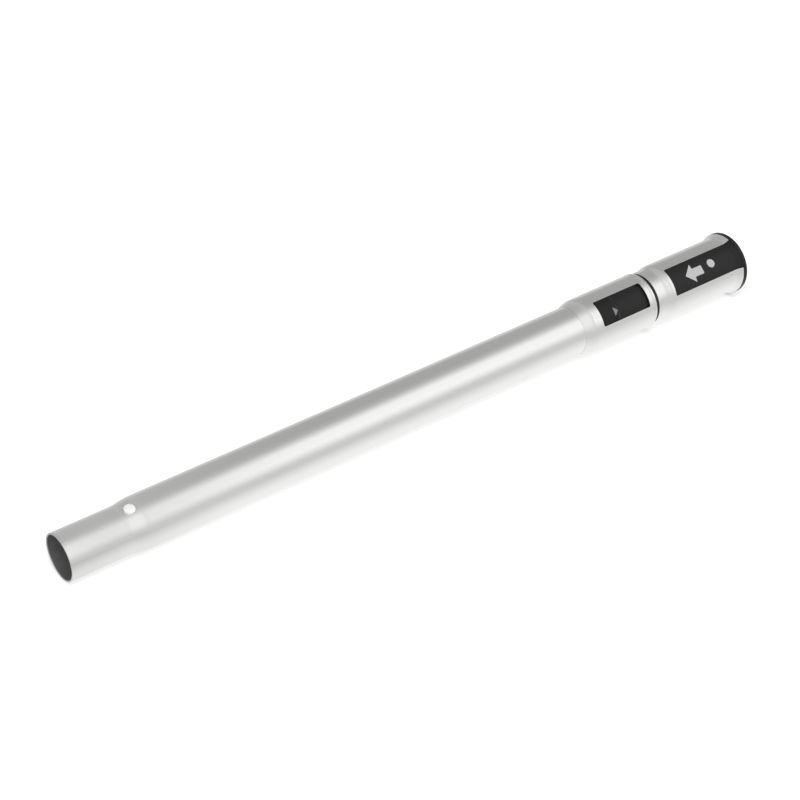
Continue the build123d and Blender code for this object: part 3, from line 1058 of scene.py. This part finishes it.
class TUBE_OT_stage(bpy.types.Operator):
    """Sets the white floor, the soft studio light and the camera"""

    bl_idname = "tube.stage"
    bl_label = "Stage"

    def execute(self, context):
        self.floor()
        self.world()
        self.lamp()
        self.camera()
        context.scene.view_settings.view_transform = "Standard"
        return {"FINISHED"}

    def floor(self):
        """A white floor under the tube, which rests on its shoulder and on its collar."""
        s = sizes()
        gap, reach = 0.05 * MM, 12.0
        near = s.neck_length + s.shoulder_length
        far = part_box("socket_body")[1].x - 4 * MM
        slope = -(s.collar_radius - s.tube_radius) / (far - near)
        level = -s.tube_radius - slope * near - gap
        corners = [(-reach, -reach), (reach, -reach), (reach, reach), (-reach, reach)]
        mesh = bpy.data.meshes.new("floor")
        mesh.from_pydata([(x, y, level + slope * x) for x, y in corners], [], [(0, 1, 2, 3)])
        mesh.materials.append(self.white_floor())
        floor = bpy.data.objects.new("floor", mesh)
        bpy.context.scene.collection.objects.link(floor)

    def white_floor(self):
        """White paper that glows a little to the camera, and shows the metal a painted reflection with
        levels of its own.
        """
        material = bpy.data.materials.new("white_floor")
        material.use_nodes = True
        nodes = material.node_tree.nodes
        link = material.node_tree.links.new
        nodes.clear()
        out = nodes.new("ShaderNodeOutputMaterial")
        paper = nodes.new("ShaderNodeBsdfDiffuse")
        paper.inputs["Color"].default_value = (0.9, 0.9, 0.9, 1.0)
        glow = nodes.new("ShaderNodeEmission")
        glow.inputs["Strength"].default_value = 0.35
        seen = nodes.new("ShaderNodeAddShader")
        link(paper.outputs["BSDF"], seen.inputs[0])
        link(glow.outputs["Emission"], seen.inputs[1])
        mirror = self.floor_in_metal(nodes, link)
        path = nodes.new("ShaderNodeLightPath")
        by_camera = nodes.new("ShaderNodeMixShader")
        by_gloss = nodes.new("ShaderNodeMixShader")
        link(path.outputs["Is Camera Ray"], by_camera.inputs["Fac"])
        link(paper.outputs["BSDF"], by_camera.inputs[1])
        link(seen.outputs["Shader"], by_camera.inputs[2])
        link(path.outputs["Is Glossy Ray"], by_gloss.inputs["Fac"])
        link(by_camera.outputs["Shader"], by_gloss.inputs[1])
        link(mirror.outputs["Emission"], by_gloss.inputs[2])
        link(by_gloss.outputs["Shader"], out.inputs["Surface"])
        return material

    def floor_in_metal(self, nodes, link):
        """The floor as the metal shows it, a painted reflection: bright beside the tube, greyer further
        out, and greyer at the mouth as painted shade under the neck.
        """
        beside_tube = [(0.022, 0.97), (0.045, 0.8), (0.09, 0.66)]
        # Weaker towards the mouth: painted shade under the neck, seen in the metal.
        mouth_shade_level, full_from = 0.84, 0.12
        mirror = nodes.new("ShaderNodeEmission")
        place = nodes.new("ShaderNodeNewGeometry")
        split = nodes.new("ShaderNodeSeparateXYZ")
        away = nodes.new("ShaderNodeMath")
        away.operation = "ABSOLUTE"
        ramp = grey_ramp(nodes, beside_tube)
        along = nodes.new("ShaderNodeMapRange")
        along.inputs["From Min"].default_value = 0.0
        along.inputs["From Max"].default_value = full_from
        along.inputs["To Min"].default_value = mouth_shade_level
        link(place.outputs["Position"], split.inputs["Vector"])
        link(split.outputs["Y"], away.inputs[0])
        link(away.outputs["Value"], ramp.inputs["Fac"])
        link(ramp.outputs["Color"], mirror.inputs["Color"])
        link(split.outputs["X"], along.inputs["Value"])
        link(along.outputs["Result"], mirror.inputs["Strength"])
        return mirror

    def world(self):
        """White to the camera, and a studio room to everything else."""
        world = bpy.data.worlds.new("studio")
        bpy.context.scene.world = world
        world.use_nodes = True
        nodes = world.node_tree.nodes
        link = world.node_tree.links.new
        nodes.clear()
        out = nodes.new("ShaderNodeOutputWorld")
        white = nodes.new("ShaderNodeBackground")
        white.inputs["Color"].default_value = (1, 1, 1, 1)
        white.inputs["Strength"].default_value = 1.0
        room = self.room(nodes, link)
        path = nodes.new("ShaderNodeLightPath")
        mix = nodes.new("ShaderNodeMixShader")
        link(path.outputs["Is Camera Ray"], mix.inputs["Fac"])
        link(room.outputs["Background"], mix.inputs[1])
        link(white.outputs["Background"], mix.inputs[2])
        link(mix.outputs["Shader"], out.inputs["Surface"])

    def room(self, nodes, link):
        """The room round the tube: a grey back wall, a soft light overhead and a pale front.

        Angles go round the tube from straight up, towards the viewer. How distinct the room is depends
        on how far a direction points along the tube, and the rest is an even grey.
        """
        levels = [
            (-180, 0.9), (-120, 0.8), (-95, 0.62), (-75, 0.43), (-30, 0.41), (-8, 0.48), (8, 0.73),
            (22, 1.0), (56, 1.05), (71, 0.88), (85, 0.69), (105, 0.66), (130, 0.9), (180, 0.95),
        ]
        distinct = [(0.17, 0.8), (0.28, 0.5), (0.32, 0.5), (0.46, 1.0)]
        even_grey = (0.61, 0.61, 0.61, 1)
        room = nodes.new("ShaderNodeBackground")
        place = nodes.new("ShaderNodeTexCoord")
        split = nodes.new("ShaderNodeSeparateXYZ")
        front = nodes.new("ShaderNodeMath")
        front.operation = "MULTIPLY"
        front.inputs[1].default_value = -1.0
        angle = nodes.new("ShaderNodeMath")
        angle.operation = "ARCTAN2"
        scaled = nodes.new("ShaderNodeMapRange")
        scaled.inputs["From Min"].default_value = -math.pi
        scaled.inputs["From Max"].default_value = math.pi
        ramp = grey_ramp(nodes, [((degrees + 180) / 360, level) for degrees, level in levels])
        share = grey_ramp(nodes, distinct)
        mixed = nodes.new("ShaderNodeMix")
        mixed.data_type = "RGBA"
        # The colour sockets of a Mix node share their names with others, so they go by number
        factor, first, second, result = 0, 6, 7, 2
        mixed.inputs[first].default_value = even_grey
        link(place.outputs["Generated"], split.inputs["Vector"])
        link(split.outputs["Y"], front.inputs[0])
        link(front.outputs["Value"], angle.inputs[0])
        link(split.outputs["Z"], angle.inputs[1])
        link(angle.outputs["Value"], scaled.inputs["Value"])
        link(scaled.outputs["Result"], ramp.inputs["Fac"])
        link(split.outputs["X"], share.inputs["Fac"])
        link(share.outputs["Color"], mixed.inputs[factor])
        link(ramp.outputs["Color"], mixed.inputs[second])
        link(mixed.outputs[result], room.inputs["Color"])
        return room

    def lamp(self):
        """One large soft lamp above and in front."""
        lamp = bpy.data.lights.new("soft_lamp", "AREA")
        lamp.shape = "RECTANGLE"
        lamp.size = 1.2
        lamp.size_y = 0.8
        lamp.energy = 9.0
        holder = bpy.data.objects.new("soft_lamp", lamp)
        holder.location = (-0.1, -0.7, 1.3)
        aim = Vector((0.28, 0.0, 0.0)) - holder.location
        holder.rotation_mode = "QUATERNION"
        holder.rotation_quaternion = aim.to_track_quat("-Z", "Y")
        holder.visible_glossy = False
        bpy.context.scene.collection.objects.link(holder)

    def camera(self):
        """The photograph's place: a long lens, above and to the left, rolled a little."""
        roll = math.radians(0.58)
        data = bpy.data.cameras.new("camera")
        data.sensor_width = 36.0
        data.lens = 90.0
        data.clip_start = 0.05
        data.clip_end = 50.0
        camera = bpy.data.objects.new("camera", data)
        bpy.context.scene.collection.objects.link(camera)
        look = Vector((0.4901, 0.6549, -0.5754)).normalized()
        upright = Vector((math.sin(roll), 0.0, math.cos(roll)))
        right = look.cross(upright).normalized()
        up = right.cross(look)
        turn = Matrix((right, up, -look)).transposed()
        camera.rotation_mode = "QUATERNION"
        camera.rotation_quaternion = turn.to_quaternion()
        camera.location = (-0.3887, -0.8601, 0.7608)
        bpy.context.scene.camera = camera


class TUBE_PT_panel(bpy.types.Panel):
    """Lists the tube's pieces and sizes"""

    bl_idname = "TUBE_PT_panel"
    bl_label = "Telescopic tube"
    bl_space_type = "VIEW_3D"
    bl_region_type = "UI"
    bl_category = "Tube"

    def draw(self, context):
        for operator in OPERATORS:
            self.layout.operator(operator.bl_idname)
        for group in (context.scene.tube_sizes, context.scene.tube_colours):
            for name in group.bl_rna.properties.keys():
                if name not in {"rna_type", "name"}:
                    self.layout.prop(group, name)


OPERATORS = (
    TUBE_OT_outer_tube,
    TUBE_OT_inner_tube,
    TUBE_OT_sleeves,
    TUBE_OT_socket,
    TUBE_OT_key,
    TUBE_OT_snap_button,
    TUBE_OT_lock,
    TUBE_OT_slide_end,
    TUBE_OT_marks,
    TUBE_OT_stage,
)


def register():
    """Adds the classes and the scene's settings."""
    for item in (TubeSizes, TubeColours, *OPERATORS, TUBE_PT_panel):
        bpy.utils.register_class(item)
    bpy.types.Scene.tube_sizes = bpy.props.PointerProperty(type=TubeSizes)
    bpy.types.Scene.tube_colours = bpy.props.PointerProperty(type=TubeColours)


def unregister():
    """Takes the settings and the classes away again."""
    del bpy.types.Scene.tube_colours
    del bpy.types.Scene.tube_sizes
    for item in (TUBE_PT_panel, *reversed(OPERATORS), TubeColours, TubeSizes):
        bpy.utils.unregister_class(item)


def main():
    """Makes every piece and the stage."""
    register()
    bpy.ops.tube.outer_tube()
    bpy.ops.tube.inner_tube()
    bpy.ops.tube.sleeves()
    bpy.ops.tube.socket()
    bpy.ops.tube.key()
    bpy.ops.tube.snap_button()
    bpy.ops.tube.lock()
    bpy.ops.tube.slide_end()
    bpy.ops.tube.marks()
    bpy.ops.tube.stage()


if __name__ == "__main__":
    main()
